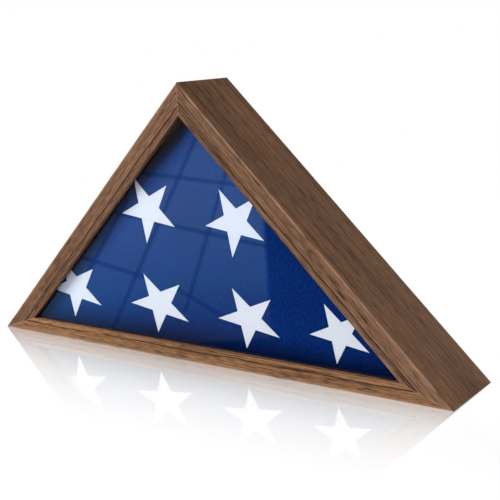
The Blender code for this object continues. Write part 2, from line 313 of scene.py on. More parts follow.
def slice_off(point, normal, fill=True):
    """Cut the whole mesh with a plane and drop what its normal points to."""
    bpy.ops.mesh.select_all(action="SELECT")
    bpy.ops.mesh.bisect(plane_co=point, plane_no=normal, use_fill=fill, clear_outer=True)


def slice_through(point, normal):
    bpy.ops.mesh.select_all(action="SELECT")
    bpy.ops.mesh.bisect(plane_co=point, plane_no=normal)


def ease_edges(width, segments=2):
    bpy.ops.mesh.bevel(offset=width, segments=segments, affect="EDGES", clamp_overlap=True)


def tidy(obj, angle=35.0):
    """Merge doubles, point the faces outwards and shade by angle."""
    edit(obj)
    bpy.ops.mesh.remove_doubles(threshold=1e-6)
    bpy.ops.mesh.normals_make_consistent(inside=False)
    bpy.ops.object.mode_set(mode="OBJECT")
    bpy.ops.object.shade_smooth_by_angle(angle=math.radians(angle))
    apply_modifier(obj, "WEIGHTED_NORMAL", keep_sharp=True)
    return obj


def put(obj, place):
    """Move a finished mesh to its place, which goes into the mesh."""
    only(obj)
    obj.matrix_world = place
    bpy.ops.object.transform_apply(location=True, rotation=True, scale=True)
    return obj


def copy_of(obj, name, place=Matrix.Identity(4)):
    """A copy of obj with its own mesh, at place."""
    only(obj)
    bpy.ops.object.duplicate()
    twin = bpy.context.active_object
    twin.name = twin.data.name = name
    return put(twin, place)


def discard(obj):
    mesh = obj.data
    bpy.data.objects.remove(obj)
    bpy.data.meshes.remove(mesh)


def apply_modifier(obj, kind, **settings):
    only(obj)
    bpy.ops.object.modifier_add(type=kind)
    modifier = obj.modifiers[-1]
    for name, value in settings.items():
        setattr(modifier, name, value)
    bpy.ops.object.modifier_apply(modifier=modifier.name)


def cut_away(obj, cutter):
    """Take a cutter out of obj and remove the cutter."""
    apply_modifier(obj, "BOOLEAN", operation="DIFFERENCE", solver="EXACT", object=cutter)
    discard(cutter)


def rides(obj, body, material, replaces=()):
    """Give a finished piece its material and body, and hide the CAD parts that it replaces."""
    obj.data.materials.clear()
    obj.data.materials.append(material)
    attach(obj, body)
    if replaces:
        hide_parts(*replaces)
    return obj


def rail_frame(rail):
    """Place of a rail's own frame: X along it, Y back, Z into the window."""
    start, end, _ = RAILS[rail]
    along = (OUTLINE[end] - OUTLINE[start]).normalized()
    back = Vector((0, 1, 0))
    inward = along.cross(back)
    place = Matrix((along, back, inward)).transposed().to_4x4()
    place.translation = OUTLINE[start]
    return place


def mitre_normal(rail, corner):
    """Normal of the mitre that closes a rail at a corner, pointing out of the rail."""
    mitre = WINDOW[corner] - OUTLINE[corner]
    across = mitre.cross(Vector((0, 1, 0))).normalized()
    other = RAILS[rail][0] if corner == RAILS[rail][1] else RAILS[rail][1]
    return across if across.dot(OUTLINE[other] - OUTLINE[corner]) < 0 else -across


def station(rail, distance, inset=LAND / 2):
    """Frame on the rear face of a rail: X runs up the slope, or away from the middle."""
    if rail.startswith("base"):
        side = -1 if rail == "base_left" else 1
        point = Vector((side * distance, REAR, inset * BASE_FACE / SIDE_FACE))
        turn = math.pi if side < 0 else 0
    else:
        side = -1 if rail == "left" else 1
        down = Vector((side, 0, -1)).normalized()
        inward = Vector((-side, 0, -1)).normalized()
        point = APEX + down * distance + inward * inset
        point.y = REAR
        turn = -math.pi / 4 if side < 0 else math.pi / 4 - math.pi
    return Matrix.Translation(point) @ Matrix.Rotation(turn, 4, "Y")


def inset_corner(corner, distance):
    return OUTLINE[corner].lerp(WINDOW[corner], distance / SIDE_FACE)


def inset_triangle(distance, play):
    """Corners of the triangle at a section distance, made smaller by play on every side."""
    left, right, apex = (inset_corner(c, distance) for c in ("left", "right", "apex"))
    shift = play * (math.sqrt(2) + 1)
    return (left + Vector((shift, 0, play)), right + Vector((-shift, 0, play)),
            apex - Vector((0, 0, play * math.sqrt(2))))


def triangle_slab(name, corners, low, high, ease, corner_cut=0.0):
    """A triangular sheet of board, felt or glass with broken edges."""
    left, right, apex = corners
    middle = (left + right) / 2
    nothing_selected()
    bpy.ops.mesh.primitive_plane_add(size=1, location=(0, low, (left.z + apex.z) / 2),
                                     rotation=(math.pi / 2, 0, 0))
    bpy.context.active_object.scale = (right.x - left.x, apex.z - left.z, 1)
    slab = added(name)
    edit(slab)
    slice_off(apex, (-1, 0, 1), fill=False)
    slice_off(apex, (1, 0, 1), fill=False)
    if corner_cut:
        reach = corner_cut * math.cos(math.pi / 8)
        for corner, way in ((left, Vector((-1, 0, -math.tan(math.pi / 8)))),
                            (right, Vector((1, 0, -math.tan(math.pi / 8))))):
            way.normalize()
            slice_off(corner - way * reach, way, fill=False)
        slice_off(apex - Vector((0, 0, corner_cut / math.sqrt(2))), (0, 0, 1), fill=False)
    bpy.ops.mesh.select_all(action="SELECT")
    push(y=high - low)
    bpy.ops.mesh.select_all(action="SELECT")
    bpy.ops.mesh.normals_make_consistent(inside=False)
    pick_edges(lambda a, b: True)
    ease_edges(ease, 2)
    return tidy(slab)


# Finishes

class Signal:
    """A node's output in a finish. Arithmetic on it adds Math nodes."""

    def __init__(self, finish, socket):
        self.finish = finish
        self.socket = socket

    def __getitem__(self, output):
        return Signal(self.finish, self.socket.node.outputs[output])

    def maths(self, operation, *values, clamp=False):
        return self.finish.node("ShaderNodeMath", {"operation": operation, "use_clamp": clamp},
                                dict(enumerate(values)))

    def __add__(self, other):
        return self.maths("ADD", self, other)

    def __sub__(self, other):
        return self.maths("SUBTRACT", self, other)

    def __rsub__(self, other):
        return self.maths("SUBTRACT", other, self)

    def __mul__(self, other):
        return self.maths("MULTIPLY", self, other)

    def __truediv__(self, other):
        return self.maths("DIVIDE", self, other)

    def __abs__(self):
        return self.maths("ABSOLUTE", self)

    def __gt__(self, other):
        return self.maths("GREATER_THAN", self, other)

    __radd__ = __add__
    __rmul__ = __mul__

    def sine(self):
        return self.maths("SINE", self)

    def larger(self, other):
        return self.maths("MAXIMUM", self, other)

    def smaller(self, other):
        return self.maths("MINIMUM", self, other)

    def halves(self, distance):
        """1 at zero, and half as much for each further distance."""
        return self.maths("POWER", 0.5, self / distance)

    def rise(self, low, high):
        """0 below low, 1 above high, and a smooth step between them."""
        return self.finish.node("ShaderNodeMapRange", {"interpolation_type": "SMOOTHSTEP"},
                                {"Value": self, "From Min": low, "From Max": high})


class Finish:
    """A material, or the room's light, made of nodes, one call for each."""

    def __init__(self, name, kind="materials"):
        self.made = getattr(bpy.data, kind).new(name)
        self.made.use_nodes = True
        self.tree = self.made.node_tree
        self.tree.nodes.clear()

    def node(self, kind, settings=None, sockets=None, output=0):
        node = self.tree.nodes.new(kind)
        for name, value in (settings or {}).items():
            if name == "stops":
                self.set_stops(node.color_ramp, value)
            else:
                setattr(node, name, value)
        for name, value in (sockets or {}).items():
            if isinstance(value, Signal):
                self.tree.links.new(value.socket, node.inputs[name])
            elif hasattr(value, "__len__") and len(value) == 3 and node.inputs[name].type == "RGBA":
                node.inputs[name].default_value = (*value, 1)
            else:
                node.inputs[name].default_value = value
        return Signal(self, node.outputs[output]) if len(node.outputs) else None

    @staticmethod
    def set_stops(ramp, stops):
        while len(ramp.elements) < len(stops):
            ramp.elements.new(0.5)
        for element, (position, colour) in zip(ramp.elements, stops):
            element.position = position
            element.color = (*colour, 1)

    def coordinates(self):
        return self.node("ShaderNodeTexCoord")["Object"]

    def scaled(self, vector, scale):
        return self.node("ShaderNodeVectorMath", {"operation": "MULTIPLY"}, {0: vector, 1: scale})

    def noise(self, vector, scale, detail=2.0, roughness=0.5, distortion=0.0):
        return self.node("ShaderNodeTexNoise", {"noise_dimensions": "3D"},
                         {"Vector": self.scaled(vector, scale), "Scale": 1.0, "Detail": detail,
                          "Roughness": roughness, "Distortion": distortion})

    def mix(self, factor, first, second, blend="MIX"):
        return self.node("ShaderNodeMix", {"data_type": "RGBA", "blend_type": blend},
                         {0: factor, 6: first, 7: second}, output=2)

    def bump(self, height, distance, strength=1.0):
        return self.node("ShaderNodeBump", None,
                         {"Height": height, "Distance": distance, "Strength": strength})

    def principled(self, **sockets):
        named = {name.replace("_", " ").title().replace("Ior", "IOR"): value
                 for name, value in sockets.items()}
        shader = self.node("ShaderNodeBsdfPrincipled", None, named)
        return self.surface(shader)

    def surface(self, shader, output="ShaderNodeOutputMaterial"):
        self.node(output, None, {"Surface": shader})
        return self.made


def walnut(name, rail, settings, knots=()):
    """Straight-grained walnut that runs along a rail, with pores, long dark lines and painted light
    on its outer face and front outer edge.
    """
    wood = Finish(name)
    place = rail_frame(rail).inverted()
    own = wood.node("ShaderNodeMapping", {"vector_type": "POINT"},
                    {"Vector": wood.coordinates(), "Rotation": place.to_euler(),
                     "Location": place.translation + Vector((len(rail) * 1.7, 0, 0))})
    axes = wood.node("ShaderNodeSeparateXYZ", None, {"Vector": own})
    depth, inward = axes["Y"], axes["Z"]
    face = RAILS[rail][2]

    broad = wood.noise(own, (2.2, 30, 30), 2, 0.5)
    streaks = wood.noise(own, (5, 330, 330), 3, 0.62, 0.15)
    fibre = wood.noise(own, (60, 760, 760), 3, 0.65)
    pores = wood.noise(own, (50, 680, 680), 1, 0.5).rise(0.57, 0.68)
    drift = wood.noise(own, (3.4, 60, 60), 2, 0.5)
    coming = wood.noise(own, (6, 45, 45), 1, 0.5).rise(0.42, 0.62)
    lines = (1 - (abs(drift - 0.5) / 0.022)).larger(0) * coming

    wander = wood.noise(own, (7, 4, 4), 2, 0.5)
    seam = inward - (wander - 0.5) * 0.009 + depth * 0.2
    first = (1 - abs(seam - face * 0.70) / 0.0011).larger(0)
    second = (1 - abs(seam - face * 0.80) / 0.0008).larger(0) * coming
    broken = wood.noise(own, (16, 300, 300), 1, 0.5).rise(0.26, 0.44)
    seams = first.larger(second) * broken * (1 - depth.rise(0.008, 0.020))

    tone = (0.53 + (broad - 0.5) * 0.7 + (streaks - 0.5) * 1.7 + (fibre - 0.5) * 2.0
            - pores * 0.26 - lines * 0.42 - seams * 1.1)
    for along_at, across_at in knots:
        spot = wood.node("ShaderNodeVectorMath", {"operation": "DISTANCE"}, {
            0: wood.scaled(own, (0.16, 1, 1)),
            1: (0.16 * (along_at + len(rail) * 1.7), 0.001, across_at)}, output="Value")
        tone = tone - (1 - spot.rise(0.0006, 0.0026)) * 0.45
    colour = wood.node("ShaderNodeValToRGB", {"stops": [
        (0.0, settings.dark), (0.30, Vector(settings.dark).lerp(Vector(settings.middle), 0.62)),
        (0.55, settings.middle), (1.0, settings.light)]}, {"Fac": tone})
    # Painted light: the outer face and the rounded front outer edge are tinted warmer and brighter,
    # and each board gets its own tint, part tone and part painted light and shade.
    outer = 1 - inward.rise(0.0004, 0.0016)
    tint = wood.mix(outer, BOARD_TONES_AND_PAINTED_LIGHT[rail], OUTER_PAINTED_LIGHT)
    colour = wood.mix(1.0, colour, tint, "MULTIPLY")
    # Lighter along the front outer edge and the mitres, broken by noise: partly wear, and along the
    # rounded front outer edge a painted highlight.
    edge = (1 - depth.rise(0.0008, 0.0030)) * (1 - inward.rise(0.0006, 0.0030))
    for corner in RAILS[rail][:2]:
        across = mitre_normal(rail, corner)
        apart = wood.node("ShaderNodeVectorMath", {"operation": "DOT_PRODUCT"},
                          {0: wood.coordinates(), 1: across}, output="Value")
        apart = abs(apart - across.dot(OUTLINE[corner]))
        edge = edge.larger((1 - apart.rise(0.0002, 0.0009)) * 0.7)
    wear_and_painted_highlight = edge * wood.noise(own, (30, 120, 120), 2, 0.6).rise(0.30, 0.55)
    colour = wood.mix(wear_and_painted_highlight * 0.6, colour, tuple(c * 1.5 for c in settings.light))
    rough = 0.50 + (fibre - 0.5) * 0.25 + pores * 0.12
    height = fibre * 0.35 + streaks * 0.5 - pores * 0.9 - seams * 0.5 - lines * 0.3
    return wood.principled(base_color=colour, roughness=rough, specular_ior_level=0.16,
                           normal=wood.bump(height, 0.00025, 0.5))


def woven(finish, pitch):
    """Height of a plain weave that follows the cloth's faces, from 0 to 1."""
    own = finish.coordinates()
    drift = finish.node("ShaderNodeTexNoise", {"noise_dimensions": "3D"},
                        {"Vector": own, "Scale": 130.0, "Detail": 2.0})["Color"]
    drift = finish.node("ShaderNodeVectorMath", {"operation": "SCALE"},
                        {0: drift, "Scale": pitch * 2.5})
    own = finish.node("ShaderNodeVectorMath", {"operation": "ADD"}, {0: own, 1: drift})
    axes = finish.node("ShaderNodeSeparateXYZ", None, {"Vector": own})
    facing = finish.node("ShaderNodeSeparateXYZ", None,
                         {"Vector": finish.node("ShaderNodeNewGeometry")["Normal"]})
    turn = math.pi / pitch
    on_face = (abs(facing["Y"]) > 0.6)
    warp_at = axes["X"] * turn
    weft_at = (axes["Z"] * on_face + axes["Y"] * (1 - on_face)) * turn
    warp, weft = warp_at.sine(), weft_at.sine()
    over = (warp * weft) > 0
    return abs(warp) * over + abs(weft) * (1 - over)


def flag_cloth(settings):
    """Navy bunting: a fine weave with slubs, a soft nap, slightly uneven dye and painted shade
    towards its edges.
    """
    cloth = Finish("navy_bunting")
    own = cloth.coordinates()
    weave = woven(cloth, 0.0007)
    slubs = cloth.noise(own, (340, 340, 250), 2, 0.6)
    dye = cloth.noise(own, (16, 16, 16), 2, 0.5)
    fuzz = cloth.noise(own, (1400, 1400, 1400), 1, 0.5)
    tone = (0.5 + (dye - 0.5) * 0.6 + (slubs - 0.5) * 1.8 + (fuzz - 0.5) * 0.6 + (weave - 0.6) * 0.25)
    colour = cloth.node("ShaderNodeValToRGB", {"stops": [
        (0.0, tuple(c * 0.55 for c in settings.navy)), (0.5, settings.navy),
        (1.0, tuple(c * 1.6 for c in settings.navy))]}, {"Fac": tone})
    # painted shade: the navy is darkened towards the folds at its edges, most of all above the base
    # rail, where the cloth rolls back under the lip
    axes = cloth.node("ShaderNodeSeparateXYZ", None, {"Vector": own})
    left, _, apex = inset_triangle(WALL, 0)
    from_left = (axes["X"] - axes["Z"] + apex.z) / math.sqrt(2)
    from_right = (apex.z - axes["X"] - axes["Z"]) / math.sqrt(2)
    pale = ((axes["Z"] - left.z).rise(-0.006, 0.040) * from_left.rise(-0.004, 0.030)
            * from_right.rise(-0.002, 0.020))
    colour = cloth.mix(pale, cloth.mix(1.0, colour, (0.16, 0.16, 0.16), "MULTIPLY"), colour)
    return cloth.principled(base_color=colour, roughness=0.82 + (slubs - 0.5) * 0.2,
                            specular_ior_level=0.08, sheen_weight=0.02, sheen_roughness=0.5,
                            sheen_tint=(0.35, 0.5, 0.9, 1),
                            normal=cloth.bump(weave * 0.35 + slubs * 0.6, 0.00025, 0.5))


def star_cloth(settings):
    """White star cloth with a close stitched border."""
    cloth = Finish("white_star_cloth")
    own = cloth.coordinates()
    weave = woven(cloth, 0.0006)
    slubs = cloth.noise(own, (380, 380, 380), 2, 0.6)
    inside = cloth.node("ShaderNodeAttribute", {"attribute_name": "from_edge"}, output="Fac")
    border = 1 - inside.rise(0.0012, 0.0017)
    axes = cloth.node("ShaderNodeSeparateXYZ", None, {"Vector": own})
    stitch = abs(((axes["X"] + axes["Z"] * 0.6) * (math.pi / 0.0006)).sine())
    tone = 0.62 + (slubs - 0.5) * 0.35 + (weave - 0.6) * 0.12 + border * (stitch - 0.6) * 0.12
    colour = cloth.node("ShaderNodeValToRGB", {"stops": [
        (0.0, tuple(c * 0.80 for c in settings.white)), (0.62, settings.white),
        (1.0, tuple(min(1, c * 1.06) for c in settings.white))]}, {"Fac": tone})
    height = weave * (1 - border) * 0.6 + border * (stitch * 0.7 + 0.8) + slubs * 0.3
    return cloth.principled(base_color=colour, roughness=0.75, specular_ior_level=0.25,
                            sheen_weight=0.08, normal=cloth.bump(height, 0.0002, 0.5))


def pane_glass():
    """Clear thin glass: what it mirrors grows towards a glancing view."""
    glass = Finish("clear_glass")
    own = glass.coordinates()
    haze = glass.noise(own, (9, 9, 9), 2, 0.5)
    clear = glass.node("ShaderNodeBsdfTransparent", None, {"Color": (0.965, 0.98, 0.975, 1)})
    mirror = glass.node("ShaderNodeBsdfGlossy", None,
                        {"Color": (1, 1, 1, 1), "Roughness": 0.012 + haze * 0.012})
    behind = glass.node("ShaderNodeNewGeometry")["Backfacing"]
    share = glass.node("ShaderNodeFresnel", None, {"IOR": 1.5}) * (1 - behind) * 1.8
    return glass.surface(glass.node("ShaderNodeMixShader", None,
                                    {0: share, 1: clear, 2: mirror}))


def stop_plastic():
    """Black extruded stop with faint drawn lines."""
    plastic = Finish("black_stop")
    own = plastic.coordinates()
    grain = plastic.noise(own, (900, 900, 900), 2, 0.5)
    smear = plastic.noise(own, (40, 40, 40), 2, 0.5)
    colour = plastic.mix(smear, (0.010, 0.010, 0.011), (0.030, 0.030, 0.033))
    return plastic.principled(base_color=colour, roughness=0.5 + grain * 0.25,
                              normal=plastic.bump(grain, 0.00006, 0.4))


def hardboard():
    """Pressed brown board with short fibres and a few dark flecks."""
    board = Finish("brown_hardboard")
    own = board.coordinates()
    fibres = board.noise(own, (420, 420, 900), 4, 0.65, 0.6)
    cloud = board.noise(own, (22, 22, 22), 3, 0.5)
    flecks = board.noise(own, (700, 700, 1100), 1, 0.5).rise(0.66, 0.74)
    tone = 0.5 + (fibres - 0.5) * 1.1 + (cloud - 0.5) * 0.5 - flecks * 0.3
    colour = board.node("ShaderNodeValToRGB", {"stops": [
        (0.0, (0.045, 0.025, 0.014)), (0.5, (0.135, 0.078, 0.045)), (1.0, (0.235, 0.150, 0.095))]},
        {"Fac": tone})
    return board.principled(base_color=colour, roughness=0.52 + (fibres - 0.5) * 0.3,
                            normal=board.bump(fibres + cloud * 0.5, 0.00015, 0.45))


def felt():
    """Black pressed felt with a short matted nap and grey lint."""
    wool = Finish("black_felt")
    own = wool.coordinates()
    nap = wool.noise(own, (900, 900, 900), 4, 0.7, 0.8)
    clumps = wool.noise(own, (130, 130, 130), 3, 0.6)
    lint = wool.noise(own, (1700, 500, 1100), 1, 0.5).rise(0.70, 0.78)
    colour = wool.mix(nap * 0.7 + clumps * 0.3, (0.006, 0.006, 0.007), (0.030, 0.030, 0.034))
    colour = wool.mix(lint * 0.5, colour, (0.09, 0.09, 0.095))
    return wool.principled(base_color=colour, roughness=0.92 + (nap - 0.5) * 0.1,
                           specular_ior_level=0.1, sheen_weight=0.1, sheen_roughness=0.6,
                           normal=wool.bump(nap + clumps * 0.8, 0.0004, 0.7))


def steel(name, colour, roughness, brush=(60, 900, 900)):
    """Plated steel with fine brush marks, smudges and slight tarnish in patches."""
    metal = Finish(name)
    own = metal.coordinates()
    marks = metal.noise(own, brush, 3, 0.6)
    smudge = metal.noise(own, (160, 160, 160), 3, 0.55)
    tarnish = metal.noise(own, (420, 420, 420), 3, 0.6).rise(0.56, 0.74)
    base = metal.mix(tarnish * 0.35, tuple(colour), tuple(c * 0.55 for c in colour))
    rough = roughness + (marks - 0.5) * 0.14 + (smudge - 0.5) * 0.16 + tarnish * 0.12
    return metal.principled(base_color=base, metallic=1.0, roughness=rough,
                            normal=metal.bump(marks, 0.00003, 0.35))


def rubber():
    """Soft dark rubber with a moulded, slightly dusty skin."""
    skin = Finish("dark_rubber")
    own = skin.coordinates()
    grain = skin.noise(own, (1800, 1800, 1800), 2, 0.5)
    dust = skin.noise(own, (260, 260, 260), 3, 0.6).rise(0.5, 0.75)
    colour = skin.mix(dust * 0.5, (0.018, 0.018, 0.019), (0.060, 0.057, 0.053))
    return skin.principled(base_color=colour, roughness=0.62 + dust * 0.2 + (grain - 0.5) * 0.1,
                           specular_ior_level=0.4, normal=skin.bump(grain, 0.00005, 0.4))


# Pieces

def mitred_rail(rail, ease_front, ease_small, joint):
    """One rail of L section with a rebate behind, cut at both mitres, in its own frame."""
    start, end, face = RAILS[rail]
    share = face / SIDE_FACE
    wall, land = WALL * share, LAND * share
    place = rail_frame(rail)
    to_own = place.inverted()
    length = (OUTLINE[end] - OUTLINE[start]).length
    nothing_selected()
    bpy.ops.mesh.primitive_cube_add(size=1, location=(length / 2, LIP_DEPTH / 2, face / 2),
                                    scale=(length, LIP_DEPTH, face))
    bar = added("walnut_rail_" + rail)
    edit(bar)
    slice_through((0, 0, wall), (0, 0, 1))
    pick_faces(lambda c, n: n.y > 0.9 and c.z < wall)
    push(y=LEDGE_DEPTH - LIP_DEPTH)
    slice_through((0, 0, land), (0, 0, 1))
    pick_faces(lambda c, n: n.y > 0.9 and c.z < land and near(c.y, LEDGE_DEPTH))
    push(y=CASE_DEPTH - LEDGE_DEPTH)
    for corner in (start, end):
        across = to_own.to_3x3() @ mitre_normal(rail, corner)
        slice_off(to_own @ OUTLINE[corner] - across * joint / 2, across)
    bpy.ops.mesh.select_all(action="SELECT")
    bpy.ops.mesh.remove_doubles(threshold=1e-6)
    bpy.ops.mesh.dissolve_limited(angle_limit=math.radians(1))
    bpy.ops.mesh.normals_make_consistent(inside=False)

    def lengthwise(a, b):
        return near(a.y, b.y) and near(a.z, b.z)
    pick_edges(lambda a, b: lengthwise(a, b) and near(a.y, 0) and near(a.z, 0))
    ease_edges(ease_front, 5)
    pick_edges(lambda a, b: lengthwise(a, b) and (
        near(a.y, 0) and near(a.z, face) or near(a.y, LIP_DEPTH) and near(a.z, face)
        or near(a.y, CASE_DEPTH)))
    ease_edges(ease_small, 3)
    return tidy(put(bar, place), 30)


def v_nail(corner):
    """A corner nail bent to a V, its legs bevelled, flush in the rear face of a mitre."""
    mitre = (WINDOW[corner] - OUTLINE[corner]).normalized()
    point = inset_corner(corner, LAND * 0.6) - mitre * (NAIL_LEG + NAIL_WIDTH) / 2
    turn = Matrix.Rotation(-math.atan2(mitre.z, mitre.x), 4, "Y")
    nothing_selected()
    bpy.ops.mesh.primitive_plane_add(size=1, location=(NAIL_WIDTH / 2, -NAIL_DEPTH, 0),
                                     rotation=(math.pi / 2, 0, 0))
    bpy.context.active_object.scale = (NAIL_WIDTH, 0.0001, 1)
    nail = added("v_nail_" + corner)
    edit(nail)
    for side in (1, -1):
        pick_edges(lambda a, b: a.z * side > 0 and b.z * side > 0 and near(a.z, b.z))
        push(x=NAIL_LEG, z=side * (NAIL_LEG - 0.00005))
    bpy.ops.mesh.select_all(action="SELECT")
    push(y=NAIL_DEPTH - GAP)
    bpy.ops.mesh.select_all(action="SELECT")
    bpy.ops.mesh.normals_make_consistent(inside=False)
    pick_edges(lambda a, b: near(a.y, -GAP) and near(b.y, -GAP))
    ease_edges(0.0001, 1)
    place = Matrix.Translation(Vector((point.x, REAR, point.z))) @ turn
    return tidy(put(nail, place))


def cross_cutter(depth):
    """The tapered cross that is pressed into a screw's head."""
    nothing_selected()
    bpy.ops.mesh.primitive_cube_add(size=1, location=(0, SCREW_HEAD_HEIGHT - depth / 2 + 0.0004, 0),
                                    scale=(SCREW_HEAD * 1.15, depth + 0.0008, 0.0006))
    arm = added("cross_cutter")
    edit(arm)
    pick_faces(lambda c, n: n.y < -0.9)
    bpy.ops.transform.resize(value=(0.45, 1, 0.55))
    arm_two = copy_of(arm, "cross_cutter_two", Matrix.Rotation(math.pi / 2, 4, "Y"))
    return arm, arm_two


def pan_head_screw(recess):
    """A pan-head screw along -Y with a cross recess; y = 0 is under its head."""
    nothing_selected()
    bpy.ops.mesh.primitive_cylinder_add(vertices=32, radius=SCREW_HEAD, depth=SCREW_HEAD_HEIGHT,
                                        location=(0, SCREW_HEAD_HEIGHT / 2, 0),
                                        rotation=(math.pi / 2, 0, 0))
    screw = added("pan_head_screw")
    edit(screw)
    pick_edges(lambda a, b: near(a.y, SCREW_HEAD_HEIGHT) and near(b.y, SCREW_HEAD_HEIGHT))
    bpy.ops.mesh.bevel(offset=SCREW_HEAD_HEIGHT * 0.72, segments=6, affect="EDGES", profile=0.55)
    pick_faces(lambda c, n: n.y < -0.9 and near(c.y, 0))
    bpy.ops.mesh.inset(thickness=SCREW_HEAD - SCREW_SHANK)
    push(y=-(SCREW_LENGTH - 3 * SCREW_SHANK))
    for _ in range(3):
        push(y=-SCREW_SHANK)
        bpy.ops.transform.resize(value=(0.5, 1, 0.5))
    bpy.ops.object.mode_set(mode="OBJECT")
    for arm in cross_cutter(recess):
        cut_away(screw, arm)
    return tidy(screw)


def turn_button():
    """Stamped steel button along +X, round at both ends, with a hole for its screw."""
    half = BUTTON_WIDTH / 2
    nothing_selected()
    bpy.ops.mesh.primitive_cylinder_add(vertices=48, radius=half, depth=BUTTON_THICKNESS,
                                        location=(0, BUTTON_THICKNESS / 2, 0),
                                        rotation=(math.pi / 2, 0, 0))
    button = added("turn_button_blade")
    edit(button)
    slice_through((0, 0, 0), (1, 0, 0))
    pick_points(lambda p: p.x > 1e-6)
    bpy.ops.transform.translate(value=(BUTTON_LENGTH - BUTTON_WIDTH, 0, 0))
    bpy.ops.mesh.select_all(action="SELECT")
    bpy.ops.mesh.normals_make_consistent(inside=False)
    pick_faces(lambda c, n: abs(n.y) > 0.9)
    bpy.ops.mesh.dissolve_limited(angle_limit=math.radians(0.5))
    pick_edges(lambda a, b: near(a.y, b.y) and (near(a.y, 0) or near(a.y, BUTTON_THICKNESS)))
    ease_edges(0.00022, 3)
    bpy.ops.object.mode_set(mode="OBJECT")
    cut_away(button, round_cutter(SCREW_SHANK + GAP / 2, BUTTON_THICKNESS * 3))
    return tidy(button)


def round_cutter(radius, depth, x=0.0):
    nothing_selected()
    bpy.ops.mesh.primitive_cylinder_add(vertices=32, radius=radius, depth=depth,
                                        location=(x, 0, 0), rotation=(math.pi / 2, 0, 0))
    return added("round_cutter")


def hanger_strap():
    """Strap along -X from its rolled loop, which wraps the ring's bar."""
    nothing_selected()
    bpy.ops.mesh.primitive_cube_add(
        size=1, location=(-STRAP_LENGTH / 2, GAP + STRAP_THICKNESS / 2, 0),
        scale=(STRAP_LENGTH, STRAP_THICKNESS, STRAP_WIDTH))
    strap = added("hanger_strap_blank")
    edit(strap)
    pick_edges(lambda a, b: near(a.x, -STRAP_LENGTH) and near(b.x, -STRAP_LENGTH)
               and near(a.z, b.z))
    ease_edges(0.0016, 5)
    pick_faces(lambda c, n: n.x > 0.9)
    bpy.ops.mesh.spin(steps=20, angle=math.radians(255), center=(0, PIVOT_HEIGHT, 0),
                      axis=(0, 0, 1))
    bpy.ops.mesh.select_all(action="SELECT")
    bpy.ops.mesh.remove_doubles(threshold=1e-6)
    bpy.ops.mesh.normals_make_consistent(inside=False)
    bpy.ops.object.mode_set(mode="OBJECT")
    cut_away(strap, round_cutter(SCREW_SHANK + GAP / 2, STRAP_THICKNESS * 6, -STRAP_SCREW))
    apply_modifier(strap, "BEVEL", width=0.00012, segments=2, limit_method="ANGLE",
                   angle_limit=math.radians(40))
    return tidy(strap)


def hanger_ring():
    """D-shaped wire ring: its bar lies along Z at the origin and its bow points to -X."""
    corner, side, half = RING_CORNER, RING_SIDE, RING_HALF_WIDTH
    nothing_selected()
    bpy.ops.mesh.primitive_circle_add(vertices=16, radius=RING_WIRE, fill_type="NOTHING",
                                      location=(0, 0, 0))
    ring = added("hanger_ring_wire")
    edit(ring, "EDGE")
    push_end(z=half - corner)
    spin_end(90, (-corner, 0, half - corner), 6)
    push_end(x=-(side - corner))
    spin_end(180, (-side, 0, 0), 24)
    push_end(x=side - corner)
    spin_end(90, (-corner, 0, corner - half), 6)
    push_end(z=half - corner)
    bpy.ops.mesh.select_all(action="SELECT")
    bpy.ops.mesh.remove_doubles(threshold=2e-6)
    bpy.ops.mesh.normals_make_consistent(inside=False)
    return tidy(ring, 60)


def push_end(x=0.0, z=0.0):
    bpy.ops.mesh.extrude_edges_move(TRANSFORM_OT_translate={"value": (x, 0, z)})


def spin_end(degrees, centre, steps):
    bpy.ops.mesh.spin(steps=steps, angle=math.radians(degrees), center=centre, axis=(0, 1, 0))


def wall_bumper():
    """Moulded rubber pad: a round foot with a domed top and a shallow dimple."""
    nothing_selected()
    bpy.ops.mesh.primitive_cylinder_add(vertices=40, radius=BUMPER_RADIUS, depth=BUMPER_HEIGHT,
                                        location=(0, BUMPER_HEIGHT / 2, 0),
                                        rotation=(math.pi / 2, 0, 0))
    pad = added("wall_bumper_pad")
    edit(pad)
    pick_edges(lambda a, b: near(a.y, BUMPER_HEIGHT) and near(b.y, BUMPER_HEIGHT))
    bpy.ops.mesh.bevel(offset=BUMPER_HEIGHT * 0.55, segments=8, affect="EDGES", profile=0.5)
    pick_faces(lambda c, n: n.y > 0.99 and near(c.y, BUMPER_HEIGHT))
    bpy.ops.mesh.inset(thickness=0.0006)
    bpy.ops.mesh.inset(thickness=0.0003, depth=-0.0003)
    pick_edges(lambda a, b: near(a.y, 0) and near(b.y, 0))
    ease_edges(0.0003, 2)
    return tidy(pad)


def smooth_step(value, low, high):
    share = min(max((value - low) / (high - low), 0.0), 1.0)
    return share * share * (3 - 2 * share)


def in_pocket(point, play):
    """point kept inside the pocket that the rails, the pane and the lining leave."""
    left, _, apex = inset_triangle(WALL, play)
    point.y = min(max(point.y, PANE_HIGH.y + 0.0035), LINING_LOW.y - 0.006)
    point.z = max(point.z, left.z - play + GAP)
    out = abs(point.x) + point.z - apex.z
    if out > 0:
        point.x -= math.copysign(out / 2, point.x)
        point.z -= out / 2
    return point


